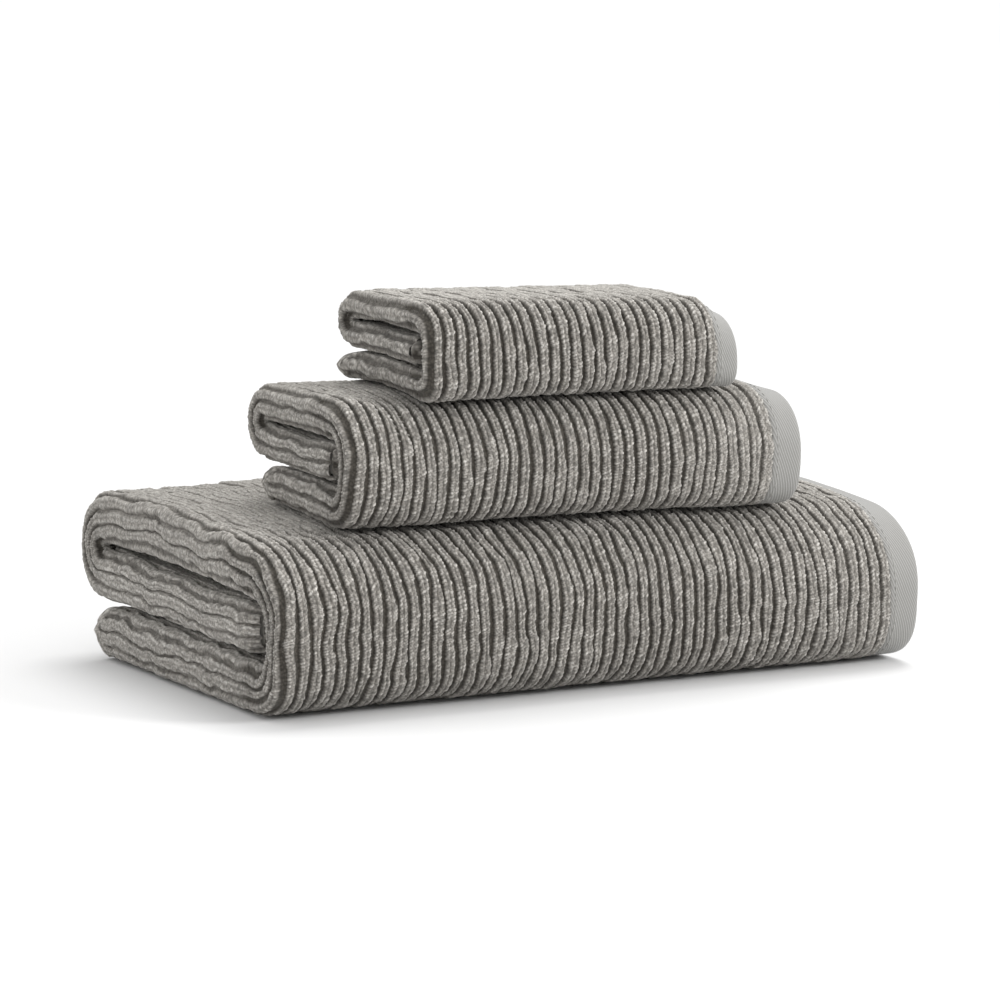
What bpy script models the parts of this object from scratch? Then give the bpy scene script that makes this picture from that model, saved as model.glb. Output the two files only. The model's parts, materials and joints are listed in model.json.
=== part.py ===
"""Three terry towels, each folded into a flat packet, stacked largest at the bottom.

Every towel is built as it is folded.  Its length is folded first, into a stack of
layers with the outer end hem at the right hand end and a fold at the left.  That
stack is then folded in three across its width: a bottom panel, a rounded fold along
the front, a top panel, a bend at the back and an inner panel between the other two.
"""
import math

import bpy
import bmesh

# Folded sizes in metres: length along the front fold, depth front to back, height.
BATH_LENGTH = 0.350
BATH_DEPTH = 0.238
BATH_HEIGHT = 0.082
HAND_LENGTH = 0.242
HAND_DEPTH = 0.124
HAND_HEIGHT = 0.059
WASH_LENGTH = 0.166
WASH_DEPTH = 0.104
WASH_HEIGHT = 0.045

# Width of the flat woven hem band across each end of the cloth.
BATH_HEM_WIDTH = 0.018
HAND_HEM_WIDTH = 0.015
WASH_HEM_WIDTH = 0.011

# How far the open edges of the bottom panel stop short of the bend at the back.
BATH_OPEN_EDGE_SETBACK = 0.018
HAND_OPEN_EDGE_SETBACK = 0.018
WASH_OPEN_EDGE_SETBACK = 0.003

# Where the two upper towels lie on the one below, and how far one is turned.
HAND_CENTRE_X = -0.007
HAND_CENTRE_Y = -0.037
HAND_TURN_DEGREES = -2.5
WASH_CENTRE_X = 0.001
WASH_CENTRE_Y = -0.041

# Cloth details shared by the three towels.
SIDE_HEM_WIDTH = 0.008
HEM_THICKNESS = 0.0032
THREAD_THICKNESS = 0.0008
STITCHING_INSET = 0.0025
LAYER_GAP = 0.0004
SEAM_GAP = 0.0003
STACK_GAP = 0.0003
INNER_HEM_SETBACK = 0.003
INNER_PANEL_SETBACK = 0.005

# Steps round each bend.
CLOTH_TURN_STEPS = 8
FRONT_FOLD_STEPS = 14
BACK_BEND_STEPS = 10

PANELS = 3

COTTON_COLOUR = (0.335, 0.322, 0.298)
HEM_COLOUR = (0.395, 0.383, 0.360)
THREAD_COLOUR = (0.420, 0.408, 0.385)


class Towel:
    """One folded towel.  levels lists the passes of cloth, in layer pitches from the
    middle of the stack, in the order the cloth takes them from its outer end hem."""

    def __init__(self, name, length, depth, height, levels, hem_width, setback):
        self.name = name
        self.length = length
        self.depth = depth
        self.height = height
        self.hem_width = hem_width
        self.setback = setback
        self.panel = (height + LAYER_GAP) / PANELS
        self.pitch = self.panel / len(levels)
        self.levels = [level * self.pitch for level in levels]
        self.cloth_half = (self.pitch - LAYER_GAP) / 2
        self.left_turn_x = -length / 2 + len(levels) * self.pitch / 2
        self.right_turn_x = length / 2 - INNER_HEM_SETBACK - self.pitch
        self.front_y = -depth / 2 + 1.5 * self.panel
        self.back_y = depth / 2 - self.panel
        self.open_y = depth / 2 - setback
        self.inner_y = self.front_y + INNER_PANEL_SETBACK


def bath_towel():
    return Towel("bath_towel", BATH_LENGTH, BATH_DEPTH, BATH_HEIGHT,
                 [1.5, -1.5, -0.5, 0.5], BATH_HEM_WIDTH, BATH_OPEN_EDGE_SETBACK)


def hand_towel():
    return Towel("hand_towel", HAND_LENGTH, HAND_DEPTH, HAND_HEIGHT,
                 [1.0, -1.0, 0.0], HAND_HEM_WIDTH, HAND_OPEN_EDGE_SETBACK)


def wash_cloth():
    return Towel("wash_cloth", WASH_LENGTH, WASH_DEPTH, WASH_HEIGHT,
                 [0.5, -0.5], WASH_HEM_WIDTH, WASH_OPEN_EDGE_SETBACK)


def half_turn(centre, radius, start, end, steps):
    """Points and unit tangents round a half circle, ends left out.

    start and end are angles in radians; the path runs from start to end."""
    out = []
    sense = 1.0 if end > start else -1.0
    for i in range(1, steps):
        a = start + (end - start) * i / steps
        point = (centre[0] + radius * math.cos(a), centre[1] + radius * math.sin(a))
        out.append((point, (-sense * math.sin(a), sense * math.cos(a))))
    return out


def length_path(towel):
    """The terry cloth's path along its length, as (x, offset) and unit tangent."""
    hem = towel.hem_width + SEAM_GAP
    ends_left = len(towel.levels) % 2 == 1
    x = towel.length / 2 - hem
    path = [((x, towel.levels[0]), (-1.0, 0.0))]
    heading = -1.0
    for here, following in zip(towel.levels, towel.levels[1:]):
        turn_x = towel.left_turn_x if heading < 0 else towel.right_turn_x
        centre = (turn_x, (here + following) / 2)
        radius = abs(following - here) / 2
        start = math.pi / 2 if here > following else -math.pi / 2
        sweep = math.pi if (here > following) == (heading < 0) else -math.pi
        path.append(((turn_x, here), (heading, 0.0)))
        path += half_turn(centre, radius, start, start + sweep, CLOTH_TURN_STEPS)
        heading = -heading
        path.append(((turn_x, following), (heading, 0.0)))
    end_x = inner_hem_outer_x(towel) + (hem if ends_left else -hem)
    path.append(((end_x, towel.levels[-1]), (heading, 0.0)))
    return path


def inner_hem_outer_x(towel):
    """Where the inner end hem's free edge lies."""
    if len(towel.levels) % 2 == 1:
        return towel.left_turn_x
    return towel.length / 2 - INNER_HEM_SETBACK


def across_path(towel):
    """The stack's path across the width, as (y, z) and unit tangent, side hems
    included: bottom panel, front fold, top panel, back bend, inner panel."""
    low = towel.panel / 2
    middle = 1.5 * towel.panel
    high = 2.5 * towel.panel
    path = [((towel.open_y, low), (-1.0, 0.0)), ((towel.front_y, low), (-1.0, 0.0))]
    path += half_turn((towel.front_y, middle), towel.panel,
                      -math.pi / 2, -1.5 * math.pi, FRONT_FOLD_STEPS)
    path += [((towel.front_y, high), (1.0, 0.0)), ((towel.back_y, high), (1.0, 0.0))]
    path += half_turn((towel.back_y, 2 * towel.panel), towel.panel / 2,
                      math.pi / 2, -math.pi / 2, BACK_BEND_STEPS)
    path += [((towel.back_y, middle), (-1.0, 0.0)), ((towel.inner_y, middle), (-1.0, 0.0))]
    return path


def cloth_across_path(towel):
    """The path across the width between the two side hems."""
    path = across_path(towel)
    hem = SIDE_HEM_WIDTH + SEAM_GAP
    (y, z), tangent = path[0]
    path[0] = ((y - hem, z), tangent)
    (y, z), tangent = path[-1]
    path[-1] = ((y + hem, z), tangent)
    return path


def outer_side_hem_path(towel):
    """The short path across the side hem on the open edge of the bottom panel."""
    (y, z), tangent = across_path(towel)[0]
    return [((y, z), tangent), ((y - SIDE_HEM_WIDTH, z), tangent)]


def inner_side_hem_path(towel):
    """The short path across the side hem on the inner panel's edge."""
    (y, z), tangent = across_path(towel)[-1]
    return [((y + SIDE_HEM_WIDTH, z), tangent), ((y, z), tangent)]


def sweep_band(along, across, half_thickness):
    """A closed band: the path `along` thickened both ways, carried down `across`."""
    bm = bmesh.new()
    rings = []
    for (y, z), (ty, tz) in across:
        ring = []
        for side in (1.0, -1.0):
            row = []
            for (x, offset), (tx, to) in along:
                px = x + side * half_thickness * to
                po = offset - side * half_thickness * tx
                row.append(bm.verts.new((px, y - po * tz, z + po * ty)))
            ring.append(row)
        rings.append(ring)
    close_band(bm, rings, len(along))
    return bm


def close_band(bm, rings, count):
    """Faces between neighbouring rings, along both cloth edges and over both ends."""
    for (top_a, low_a), (top_b, low_b) in zip(rings, rings[1:]):
        for i in range(count - 1):
            bm.faces.new((top_a[i], top_a[i + 1], top_b[i + 1], top_b[i]))
            bm.faces.new((low_a[i + 1], low_a[i], low_b[i], low_b[i + 1]))
        bm.faces.new((low_a[0], top_a[0], top_b[0], low_b[0]))
        bm.faces.new((top_a[-1], low_a[-1], low_b[-1], top_b[-1]))
    for top, low in (rings[0], rings[-1]):
        for i in range(count - 1):
            bm.faces.new((top[i], low[i], low[i + 1], top[i + 1]))
    bmesh.ops.recalc_face_normals(bm, faces=bm.faces)


def cotton_material(name, colour, roughness):
    material = bpy.data.materials.new(name)
    material.use_nodes = True
    shader = material.node_tree.nodes["Principled BSDF"]
    shader.inputs["Base Color"].default_value = (*colour, 1.0)
    shader.inputs["Roughness"].default_value = roughness
    return material


def add_part(name, bm, holder, colour, roughness):
    """Store one piece under its own name, carried by its towel's empty."""
    mesh = bpy.data.meshes.new(name)
    bm.to_mesh(mesh)
    bm.free()
    mesh.shade_smooth()
    mesh.set_sharp_from_angle(angle=math.radians(40))
    mesh.materials.append(cotton_material(name, colour, roughness))
    part = bpy.data.objects.new(name, mesh)
    part.parent = holder
    bpy.context.scene.collection.objects.link(part)


def end_hem_path(towel, which):
    """The two ends of the path across an end hem band, outer or inner."""
    if which == "outer":
        edge, level, inward = towel.length / 2, towel.levels[0], -1.0
    else:
        edge, level = inner_hem_outer_x(towel), towel.levels[-1]
        inward = 1.0 if len(towel.levels) % 2 == 1 else -1.0
    far = edge + inward * towel.hem_width
    left, right = min(edge, far), max(edge, far)
    return [((right, level), (-1.0, 0.0)), ((left, level), (-1.0, 0.0))]


def stitching_path(towel, which):
    """A row of thread on the hem band's outer face, near the terry."""
    (right, level), _ = end_hem_path(towel, which)[0]
    (left, _), _ = end_hem_path(towel, which)[1]
    terry_on_left = which == "outer" or len(towel.levels) % 2 == 0
    x = left + STITCHING_INSET if terry_on_left else right - STITCHING_INSET
    level += HEM_THICKNESS / 2 + SEAM_GAP + THREAD_THICKNESS / 2
    half = THREAD_THICKNESS / 2
    return [((x + half, level), (-1.0, 0.0)), ((x - half, level), (-1.0, 0.0))]


def add_terry_cloth(towel, holder):
    bm = sweep_band(length_path(towel), cloth_across_path(towel), towel.cloth_half)
    add_part(towel.name + "_terry_cloth", bm, holder, COTTON_COLOUR, 0.95)


def add_end_hem(towel, which, holder):
    bm = sweep_band(end_hem_path(towel, which), across_path(towel), HEM_THICKNESS / 2)
    add_part(towel.name + "_" + which + "_end_hem", bm, holder, HEM_COLOUR, 0.7)


def add_end_stitching(towel, which, holder):
    bm = sweep_band(stitching_path(towel, which), across_path(towel), THREAD_THICKNESS / 2)
    add_part(towel.name + "_" + which + "_end_stitching", bm, holder, THREAD_COLOUR, 0.6)


def add_side_hem(towel, which, holder):
    across = outer_side_hem_path(towel) if which == "outer" else inner_side_hem_path(towel)
    bm = sweep_band(length_path(towel), across, HEM_THICKNESS / 2)
    add_part(towel.name + "_" + which + "_side_hem", bm, holder, HEM_COLOUR, 0.75)


def add_towel(towel, x, y, z, turn_degrees):
    """All the pieces of one towel, carried by an empty where the towel lies.

    The empty sits half a layer gap low, so that the cloth itself starts at z."""
    holder = bpy.data.objects.new(towel.name, None)
    holder.location = (x, y, z - LAYER_GAP / 2)
    holder.rotation_euler = (0.0, 0.0, math.radians(turn_degrees))
    bpy.context.scene.collection.objects.link(holder)
    add_terry_cloth(towel, holder)
    for which in ("outer", "inner"):
        add_end_hem(towel, which, holder)
        add_end_stitching(towel, which, holder)
        add_side_hem(towel, which, holder)


def main():
    for old in list(bpy.data.objects):
        bpy.data.objects.remove(old)
    hand_z = BATH_HEIGHT + STACK_GAP
    wash_z = hand_z + HAND_HEIGHT + STACK_GAP
    add_towel(bath_towel(), 0.0, 0.0, 0.0, 0.0)
    add_towel(hand_towel(), HAND_CENTRE_X, HAND_CENTRE_Y, hand_z, HAND_TURN_DEGREES)
    add_towel(wash_cloth(), WASH_CENTRE_X, WASH_CENTRE_Y, wash_z, 0.0)


main()
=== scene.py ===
"""Looks for a set of three folded ribbed terry towels: bath towel, hand towel, wash cloth.

Every spot of cloth is first placed on the flat towel, by how far it is from the outer
end hem (along) and from the open side edge (across).  FoldedTowel then carries it through
the lengthwise folds and the three folds across, the way the towels are folded by hand.
"""
import json
import math

import bpy
import numpy as np
from bpy.props import FloatProperty, FloatVectorProperty, IntProperty, PointerProperty
from bpy.types import Operator, Panel, PropertyGroup
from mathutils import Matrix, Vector

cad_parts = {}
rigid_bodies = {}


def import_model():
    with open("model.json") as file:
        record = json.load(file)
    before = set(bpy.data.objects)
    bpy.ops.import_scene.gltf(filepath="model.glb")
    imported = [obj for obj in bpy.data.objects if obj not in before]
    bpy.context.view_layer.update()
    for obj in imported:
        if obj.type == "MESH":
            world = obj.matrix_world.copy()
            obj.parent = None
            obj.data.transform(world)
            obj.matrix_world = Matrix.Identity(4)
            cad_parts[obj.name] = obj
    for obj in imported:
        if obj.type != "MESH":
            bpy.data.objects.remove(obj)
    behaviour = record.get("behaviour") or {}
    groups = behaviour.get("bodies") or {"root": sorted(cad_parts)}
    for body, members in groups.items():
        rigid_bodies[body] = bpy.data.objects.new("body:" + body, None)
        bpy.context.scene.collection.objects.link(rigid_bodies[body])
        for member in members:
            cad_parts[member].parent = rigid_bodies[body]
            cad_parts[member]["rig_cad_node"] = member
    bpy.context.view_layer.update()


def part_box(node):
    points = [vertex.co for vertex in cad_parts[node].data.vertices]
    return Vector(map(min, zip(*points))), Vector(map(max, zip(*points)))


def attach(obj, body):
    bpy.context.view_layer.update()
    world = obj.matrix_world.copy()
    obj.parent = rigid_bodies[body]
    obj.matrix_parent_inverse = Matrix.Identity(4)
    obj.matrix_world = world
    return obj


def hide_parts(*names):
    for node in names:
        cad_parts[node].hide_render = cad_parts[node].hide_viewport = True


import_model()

bl_info = {
    "name": "Folded terry towels",
    "version": (1, 0, 0),
    "blender": (4, 5, 0),
    "location": "3D View > Sidebar > Towels",
    "description": "Builds a stack of folded ribbed terry towels",
    "category": "Add Mesh",
}

# Fold levels of the passes of cloth, in layer pitches from the middle of the stack, in
# the order the cloth takes them from its outer end hem.
QUARTERED = (1.5, -1.5, -0.5, 0.5)
THIRDED = (1.0, -1.0, 0.0)
HALVED = (0.5, -0.5)


# The bath towel's hem band shows a little narrower than its solid, its edge turned under.
HEM_BAND_SHOWN = 0.88


def hem_band_width():
    low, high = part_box("bath_towel_outer_end_hem")
    return (high.x - low.x) * HEM_BAND_SHOWN


def linear(hex_colour):
    """An sRGB hex colour as the linear colour that shaders take."""
    value = hex_colour.lstrip("#")
    out = []
    for i in (0, 2, 4):
        c = int(value[i:i + 2], 16) / 255.0
        out.append(c / 12.92 if c <= 0.04045 else ((c + 0.055) / 1.055) ** 2.4)
    return (*out, 1.0)


# ------------------------------------------------------------------ settings


def colour(name, description, hex_colour):
    return FloatVectorProperty(name=name, description=description, subtype="COLOR", size=4,
                               min=0.0, max=1.0, default=linear(hex_colour))


def metres(name, description, default=0.0, **limits):
    return FloatProperty(name=name, description=description, default=default,
                         unit="LENGTH", **limits)


class CottonSettings(PropertyGroup):
    """Colours of the dyed cotton, the same on all three towels; the three pile colours run from
    painted shade deep between the loops to painted light on their tips.
    """

    # The deep pile colour is painted shade down between the loops; the tip colour is the yarn
    # lightened with painted light.
    pile_deep: colour("Pile, deep", "Down between the loops", "#47433D")
    pile_middle: colour("Pile, middle", "Sides of the loops", "#97938D")
    pile_tips: colour("Pile, tips", "Tips of the loops", "#D2CFC9")
    pile_bloom: colour("Pile, bloom", "Loose fibre ends that catch the light", "#E6E4DF")
    ground_dark: colour("Ground, dark", "Between the threads of the ground", "#7B7872")
    ground_light: colour("Ground, light", "Threads of the ground", "#928F89")
    twill_dark: colour("Twill, dark", "Between the wales of the hems", "#7C7B78")
    twill_light: colour("Twill, light", "Wales of the hems", "#949390")
    thread_dark: colour("Thread, dark", "Between the plies of the sewing thread", "#8F8E8A")
    thread_light: colour("Thread, light", "Plies of the sewing thread", "#AAA9A5")


class TerrySettings(PropertyGroup):
    """Sizes of the towelling itself, the same on all three towels."""

    rib_pitch: metres("Rib pitch", "From one groove of the pile to the next",
                      0.0063, min=0.003, max=0.02)
    ground_thickness: metres("Ground thickness", "Of the woven ground under the loops",
                             0.0009, min=0.0003, max=0.003)
    loop_pitch: metres("Loop pitch", "From one pile loop to the next along a rib",
                       0.00128, min=0.0005, max=0.005)
    loop_relief: metres("Loop relief", "How far single loops stand out of their rib",
                        0.0014, min=0.0, max=0.003)
    fine_step: metres("Fine step", "Mesh step along a rib where the pile shows",
                      0.00044, min=0.0002, max=0.005)
    coarse_step: metres("Coarse step", "Mesh step along a rib where the pile is tucked away",
                        0.0014, min=0.0005, max=0.02)
    side_hem_width: metres("Side hem width", "Of the turned hem along both long sides",
                           0.0056, min=0.002, max=0.03)
    hem_thickness: metres("Hem thickness", "Of the doubled flat woven hems",
                          0.0030, min=0.001, max=0.006)


class TowelSettings(PropertyGroup):
    """Sizes and place of one folded towel."""

    length: metres("Length", "Along the front fold")
    depth: metres("Depth", "From front fold to back bend")
    height: metres("Height", "Of the folded towel")
    hem_width: metres("Hem width", "Of the flat woven end hem")
    setback: metres("Open edge setback", "Of the bottom panel's open edge from the back")
    centre_x: metres("Centre X", "Place on the stack")
    centre_y: metres("Centre Y", "Place on the stack")
    base_z: metres("Base Z", "What the towel lies on")
    turn: FloatProperty(name="Turn", description="About the vertical", unit="ROTATION")
    foot_rise: metres("Foot rise", "Of its underside at its middle")
    foot_slope: FloatProperty(
        name="Foot slope", description="Fall of its underside towards the hem end")
    foot_dome: metres("Foot dome", "Fall of its underside 0.1 m either side of its ridge")
    foot_dome_y: metres("Foot dome Y", "Ridge of the dome it lies on")
    top_dome: metres("Top dome", "Fall of its top 0.1 m either side of its ridge")
    top_dome_y: metres("Top dome Y", "Ridge of its top")
    pressed_length: metres("Pressed length", "How much of its top the dome takes in")
    top_rise: metres("Top rise", "Of its top at its middle")
    top_slope: FloatProperty(
        name="Top slope", description="Fall of its top towards the hem end")
    hem_drop: FloatProperty(
        name="Hem drop", description="Share of its height lost at the flat hem")
    wander: metres("Rib wander", "How far the ribs stray from straight lines")
    seed: IntProperty(name="Seed", description="Of this towel's own irregularities")


def set_towel(towel, name, **values):
    """Fill in one towel's settings; its foot and height come from its CAD solid."""
    towel.name = name
    for key, value in values.items():
        setattr(towel, key, value)
    low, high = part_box(name + "_terry_cloth")
    towel.base_z = low.z
    towel.height = high.z - low.z


def reset_towels(scene):
    """Each towel's own sizes: one lies flat, the next two follow the top beneath them."""
    set_towel(scene.bath_towel, "bath_towel", length=0.3568, depth=0.238,
              hem_width=hem_band_width(), setback=0.018, centre_x=-0.0006, centre_y=0.0,
              turn=0.0, foot_rise=0.0, foot_slope=0.0, foot_dome=0.0, top_rise=0.0062,
              top_slope=0.001, top_dome=0.0048, top_dome_y=0.035, pressed_length=0.4,
              hem_drop=0.05, wander=0.0018, seed=11)
    set_towel(scene.hand_towel, "hand_towel", length=0.2465, depth=0.124, hem_width=0.015,
              setback=0.018, centre_x=-0.0055, centre_y=-0.037, turn=math.radians(-2.5),
              foot_rise=0.0062, foot_slope=0.001, foot_dome=0.0048, foot_dome_y=0.035,
              top_rise=0.0046, top_slope=0.008, top_dome=0.0135, top_dome_y=-0.016,
              pressed_length=0.178, hem_drop=0.07, wander=0.0012, seed=23)
    set_towel(scene.wash_cloth, "wash_cloth", length=0.1730, depth=0.104, hem_width=0.011,
              setback=0.003, centre_x=-0.0005, centre_y=-0.041, turn=0.0,
              foot_rise=0.0046, foot_slope=0.008, foot_dome=0.0135, foot_dome_y=-0.016,
              top_rise=0.0028, top_slope=0.030, top_dome=0.004, top_dome_y=-0.02,
              pressed_length=0.2, hem_drop=0.15, wander=0.0011, seed=37)


# ------------------------------------------------------------------ small mathematics


def smooth_step(t):
    t = np.clip(t, 0.0, 1.0)
    return t * t * (3.0 - 2.0 * t)


def lattice_noise(a, b, seed):
    """Smooth noise from -1 to 1 over a plane, one bump per unit; the same each run."""
    table = np.random.default_rng(seed).uniform(-1.0, 1.0, (256, 256))
    a, b = np.broadcast_arrays(np.asarray(a, float), np.asarray(b, float))
    ia = np.floor(a).astype(int)
    ib = np.floor(b).astype(int)
    fa = smooth_step(a - ia)
    fb = smooth_step(b - ib)
    ia0, ia1, ib0, ib1 = ia % 256, (ia + 1) % 256, ib % 256, (ib + 1) % 256
    near = table[ia0, ib0] * (1 - fa) + table[ia1, ib0] * fa
    far = table[ia0, ib1] * (1 - fa) + table[ia1, ib1] * fa
    return near * (1 - fb) + far * fb


def cell_value(a, b, seed):
    """One random value from 0 to 1 for each whole-numbered cell."""
    table = np.random.default_rng(seed).random((512, 512))
    return table[np.asarray(a, int) % 512, np.asarray(b, int) % 512]


def arc_lengths(points):
    steps = np.linalg.norm(np.diff(points, axis=0), axis=1)
    return np.concatenate([[0.0], np.cumsum(steps)])


def signed_power(value, power):
    return np.sign(value) * np.abs(value) ** power


def curve_normals(points):
    """Unit normals on the right hand side of a dense plane curve, looking along it."""
    tangent = np.gradient(points, axis=0)
    tangent /= np.maximum(np.linalg.norm(tangent, axis=1), 1e-12)[:, None]
    window = np.ones(9) / 9
    padded = np.pad(tangent, ((4, 4), (0, 0)), mode="edge")
    tangent = np.stack([np.convolve(padded[:, c], window, mode="valid")
                        for c in (0, 1)], axis=1)
    tangent /= np.linalg.norm(tangent, axis=1)[:, None]
    return np.stack([tangent[:, 1], -tangent[:, 0]], axis=1)


# ------------------------------------------------------------------ the fold


class FoldedTowel:
    """Carries spots of the flat cloth to where they lie in the folded towel."""

    DENSE = 0.0003              # step of the dense curves the cloth is carried along
    LAYER_GAP = 0.0004          # air between one pass of cloth and the next
    INNER_HEM_SETBACK = 0.003   # of the inner end hem from the outer one
    INNER_PANEL_REACH = 0.42    # of the inner panel into the front fold, in panels
    SPINE_SQUEEZE = (0.24, 0.08)  # share the passes lose in the front fold, left and right
    LEFT_SQUARENESS = (2.8, 2.45)  # of the front fold's foot and top; 2 is a round fold
    RIGHT_SQUARENESS = (3.3, 2.2)
    TURN_SQUARENESS = 4.2       # of the wide lengthwise turns
    SEAM_GAP = 0.0003           # between the hems and the pile
    SLIT = 0.13                 # opening over the inner panel at the left, in panels
    HEM_END = 0.085             # share of the length over which the hem end thins
    DOME_SPAN = 0.1             # the distance over which a dome's fall is given
    DOME_EASE = 0.022           # the length over which the pressed top gives way
    LEVELS = {"bath_towel": QUARTERED, "hand_towel": THIRDED, "wash_cloth": HALVED}

    def __init__(self, towel):
        self.name = towel.name
        self.towel = towel
        levels = self.LEVELS[towel.name]
        self.panel = (towel.height + self.LAYER_GAP) / 3.0
        self.pitch = self.panel / len(levels)
        self.levels = [level * self.pitch for level in levels]
        self.pile_reach = (self.pitch - self.LAYER_GAP) / 2.0
        self.left_turn_x = -towel.length / 2 + len(levels) * self.pitch / 2
        self.right_turn_x = towel.length / 2 - self.INNER_HEM_SETBACK - self.pitch
        self.ends_left = len(levels) % 2 == 1
        self.terry_right_x = towel.length / 2 - towel.hem_width - self.SEAM_GAP
        self._trace_length()
        self._trace_section()

    def inner_hem_edge_x(self):
        if self.ends_left:
            return self.left_turn_x
        return self.towel.length / 2 - self.INNER_HEM_SETBACK

    def _trace_length(self):
        """The lengthwise fold as a dense plane curve of (x, level)."""
        points = [(self.terry_right_x, self.levels[0])]
        heading = -1.0
        marks = []
        for here, following in zip(self.levels, self.levels[1:]):
            turn_x = self.left_turn_x if heading < 0 else self.right_turn_x
            radius = abs(following - here) / 2
            middle = (here + following) / 2
            start = math.pi / 2 if here > following else -math.pi / 2
            sweep = math.pi if (here > following) == (heading < 0) else -math.pi
            count = max(40, int(2 * math.pi * radius / self.DENSE))
            power = 2.0 / (self.TURN_SQUARENESS if radius > self.pitch * 0.8 else 2.0)
            marks.append(len(points))
            for i in range(count + 1):
                a = start + sweep * i / count
                points.append((turn_x + radius * signed_power(math.cos(a), power),
                               middle + radius * signed_power(math.sin(a), power)))
            marks.append(len(points) - 1)
            heading = -heading
        width = self.towel.hem_width + self.SEAM_GAP
        end_x = self.inner_hem_edge_x() + (width if self.ends_left else -width)
        points.append((end_x, self.levels[-1]))
        points = np.array(points)
        self.along_knots = arc_lengths(points)
        self.turns = [self.along_knots[m] for m in marks]
        self.along_total = self.along_knots[-1]
        samples = np.arange(0.0, self.along_total, self.DENSE)
        self.along = np.append(samples, self.along_total)
        x = np.interp(self.along, self.along_knots, points[:, 0])
        level = np.interp(self.along, self.along_knots, points[:, 1])
        curve = np.stack([x, level], axis=1)
        # Outward is to the right of the path, which starts at the right end, going left.
        self.length_curve = curve
        self.length_normal = curve_normals(curve)
        angle = np.unwrap(np.arctan2(self.length_normal[:, 1], self.length_normal[:, 0]))
        window = np.ones(15) / 15
        self.bend = np.convolve(np.gradient(angle, self.along), window, mode="same")

    def _section_points(self, foot_squareness, top_squareness, parts):
        """The folds across as a plane curve of (y, z), bottom panel first; the front fold
        sits flatter at its foot than at its top."""
        towel = self.towel
        t = self.panel
        front_y = -towel.depth / 2 + 1.5 * t
        back_y = towel.depth / 2 - t
        out = [np.linspace((towel.depth / 2 - towel.setback, t / 2), (front_y, t / 2), parts[0],
                           endpoint=False)]
        a = np.linspace(-math.pi / 2, -1.5 * math.pi, parts[1], endpoint=False)
        power = np.where(a > -math.pi, 2.0 / foot_squareness, 2.0 / top_squareness)
        out.append(np.stack([front_y + t * signed_power(np.cos(a), power),
                             1.5 * t + t * signed_power(np.sin(a), power)], axis=1))
        out.append(np.linspace((front_y, 2.5 * t), (back_y, 2.5 * t), parts[2], endpoint=False))
        a = np.linspace(math.pi / 2, -math.pi / 2, parts[3], endpoint=False)
        out.append(np.stack([back_y + t / 2 * np.cos(a), 2 * t + t / 2 * np.sin(a)], axis=1))
        end_y = front_y - self.INNER_PANEL_REACH * t
        out.append(np.linspace((back_y, 1.5 * t), (end_y, 1.5 * t), parts[4]))
        return np.concatenate(out)

    def _trace_section(self):
        towel = self.towel
        parts = [int(n) for n in (towel.depth / self.DENSE, 3.2 * self.panel / self.DENSE,
                                  towel.depth / self.DENSE, 1.6 * self.panel / self.DENSE,
                                  towel.depth / self.DENSE)]
        left = self._even(self._section_points(*self.LEFT_SQUARENESS, parts), parts)
        right = self._even(self._section_points(*self.RIGHT_SQUARENESS, parts), parts)
        mean = (left + right) / 2
        self.across = arc_lengths(mean)
        self.across_total = self.across[-1]
        ends = np.cumsum(parts)
        self.panel_marks = [self.across[i] for i in ends[:4]]
        self.section = (left, right)
        self.section_normal = (curve_normals(left), curve_normals(right))

    def _even(self, points, parts):
        """Spread each part's points evenly along it, so that both sections match."""
        out = []
        start = 0
        for i, count in enumerate(parts):
            stop = start + count
            piece = points[start:stop + 1] if i < len(parts) - 1 else points[start:stop]
            lengths = arc_lengths(piece)
            last = i == len(parts) - 1
            wanted = np.linspace(0.0, lengths[-1], count, endpoint=last)
            out.append(np.stack([np.interp(wanted, lengths, piece[:, c])
                                 for c in (0, 1)], axis=1))
            start = stop
        return np.concatenate(out)

    def place(self, along, across, lift):
        """Points of the cloth; lift is the height above its middle, towards its outer face."""
        x, level, out_x, out_level = self._length_at(along)
        across = across + self._stagger(along) * smooth_step(1.0 - across / (1.6 * self.panel))
        return self.place_level(x + lift * out_x, level + lift * out_level, across)

    def _stagger(self, along):
        """How far the open side edge is drawn in where the passes turn at the left."""
        first, last = self.turns[0], self.turns[1]
        turn = last - first
        knots = [first - 0.12, first, first + 0.15 * turn, first + 0.3 * turn,
                 first + 0.5 * turn, first + 0.75 * turn, last, last + 0.05,
                 self.along_total - 0.06, self.along_total]
        drawn = [0.0, 0.4, 0.22, 0.3, 0.05, 0.38, 0.8, 0.4, 0.4, 0.0]
        return np.interp(along, knots, drawn) * self.panel

    def _squeeze(self, x, level, across):
        """The passes are pressed together in the front fold and at the inner panel's end."""
        start, stop = self.panel_marks[0], self.panel_marks[1]
        turn = np.clip((across - start) / (stop - start), 0.0, 1.0)
        blend = smooth_step(x / self.towel.length + 0.5)
        most = self.SPINE_SQUEEZE[0] * (1 - blend) + self.SPINE_SQUEEZE[1] * blend
        outside = self.panel / 2
        level = outside - (outside - level) * (1.0 - most * np.sin(math.pi * turn) ** 2)
        reach = self.INNER_PANEL_REACH * self.panel
        past = np.clip((across - (self.across_total - reach * 1.5)) / (reach * 1.75), 0.0, 1.0)
        tuck = 1.3 * self.panel * past ** 3 * (1.0 - blend) ** 2
        return x + tuck, level * np.sqrt(1.0 - past ** 2)

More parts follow.
